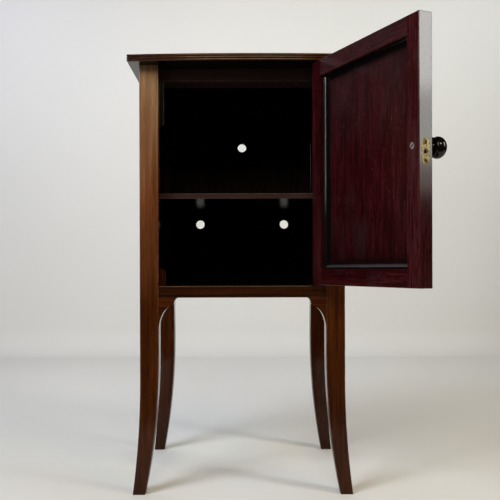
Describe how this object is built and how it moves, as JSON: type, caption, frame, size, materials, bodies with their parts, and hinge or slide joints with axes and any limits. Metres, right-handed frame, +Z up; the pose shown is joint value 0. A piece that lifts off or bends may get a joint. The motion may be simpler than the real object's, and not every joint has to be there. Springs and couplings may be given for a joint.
{
  "type": "bedside pot cupboard",
  "caption": "Mahogany bedside pot cupboard on sabre legs, with a reeded bow-fronted top, a shelf, a vented back and a framed door on brass butt hinges, standing open.",
  "frame": {"origin": "on the floor, midway between the four legs", "axes": "+X to the right seen from the front, +Y to the back, +Z up"},
  "size_m": [0.4982, 0.6267, 0.78],
  "materials": {
    "mahogany": "French-polished mahogany",
    "red_mahogany": "dark red polished mahogany",
    "stained_wood": "dark stained softwood, satin",
    "ebonised_wood": "ebonised and polished",
    "brass": "lightly tarnished",
    "steel": "dull"
  },
  "bodies": {
    "carcass": {"top_board": "mahogany", "leg_front_left": "mahogany", "leg_front_right": "mahogany", "leg_rear_left": "mahogany", "leg_rear_right": "mahogany", "side_panel_left": "mahogany", "side_panel_right": "mahogany", "back_panel": "stained_wood", "floor_board": "stained_wood", "shelf": "stained_wood", "shelf_bearer_left": "stained_wood", "shelf_bearer_right": "stained_wood", "floor_bearer_left": "stained_wood", "floor_bearer_right": "stained_wood", "top_rail_front": "stained_wood", "top_rail_rear": "stained_wood", "bottom_rail_front": "mahogany", "bottom_rail_rear": "mahogany", "bracket_left": "mahogany", "bracket_right": "mahogany", "door_stop_upper": "stained_wood", "door_stop_lower": "mahogany", "strike_plate": "brass", "strike_screws": "brass", "top_screws": "steel", "bearer_screws": "steel", "hinge_upper_frame_leaf": "brass", "hinge_lower_frame_leaf": "brass", "hinge_upper_pin": "brass", "hinge_lower_pin": "brass", "hinge_frame_screws": "brass"},
    "door": {"stile_hinge": "red_mahogany", "stile_free": "red_mahogany", "door_rail_top": "red_mahogany", "door_rail_bottom": "red_mahogany", "door_panel": "red_mahogany", "bead_top": "ebonised_wood", "bead_bottom": "ebonised_wood", "bead_hinge": "ebonised_wood", "bead_free": "ebonised_wood", "bead_pins": "steel", "knob": "ebonised_wood", "knob_screw": "steel", "catch_plate": "brass", "catch_barrel": "brass", "catch_screws": "brass", "hinge_upper_door_leaf": "brass", "hinge_lower_door_leaf": "brass", "hinge_door_screws": "brass"},
    "catch_ball": {"catch_ball": "steel", "catch_spring": "steel"}
  },
  "joints": [
    {"name": "door_hinge", "type": "hinge", "parent": "carcass", "child": "door", "pos_m": [0.14955, -0.17, 0.5695], "axis": [0, 0, 1], "range_deg": [-114.75, 65.25]},
    {"name": "catch_ball_slide", "type": "slide", "parent": "door", "child": "catch_ball", "axis": [0.4187, -0.9081, 0], "range_m": [-0.001, 0], "stiffness_N_per_m": 1500, "springref_m": 0.002}
  ]
}
